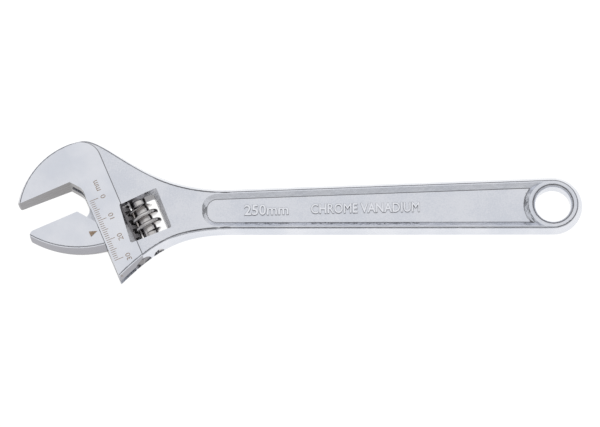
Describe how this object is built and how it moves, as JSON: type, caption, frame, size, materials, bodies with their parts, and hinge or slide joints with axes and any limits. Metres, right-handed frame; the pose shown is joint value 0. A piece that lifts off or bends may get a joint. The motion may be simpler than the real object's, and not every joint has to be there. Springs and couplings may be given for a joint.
{
  "type": "adjustable wrench",
  "caption": "Open-ended adjustable wrench: worm-driven sliding jaw on a racked rail, square knurl window, sunk handle panels and a round hang hole.",
  "frame": {"origin": "centre of the hang hole, on the tool's mid-plane", "axes": "+X along the handle away from the jaws, +Y across the handle towards the back of the fixed jaw, +Z out of the side with the scale"},
  "size_m": [0.2543, 0.0667, 0.015],
  "materials": {
    "satin_chrome": "satin chrome plate over forged steel, ground on the jaws and the plate",
    "dark_steel": "turned steel, darker and glossier than the forging",
    "spring_steel": "drawn wire"
  },
  "bodies": {
    "forging": {"body": "satin_chrome", "knurl_pin": "dark_steel", "knurl_spring": "spring_steel"},
    "jaw": {"movable_jaw": "satin_chrome"},
    "knurl": {"adjusting_knurl": "dark_steel"}
  },
  "joints": [
    {"name": "knurl_spin", "type": "hinge", "parent": "forging", "child": "knurl", "pos_m": [-0.18361, -0.00308, 0], "axis": [0.3746, -0.9272, 0], "range_deg": [-1310, 1146]},
    {"name": "jaw_slide", "type": "slide", "parent": "forging", "child": "jaw", "axis": [0.3746, -0.9272, 0], "range_m": [-0.014, 0.016]}
  ],
  "couplings": [
    {"joint": "knurl_spin", "follows": "jaw_slide", "rad_per_m": -1428}
  ]
}
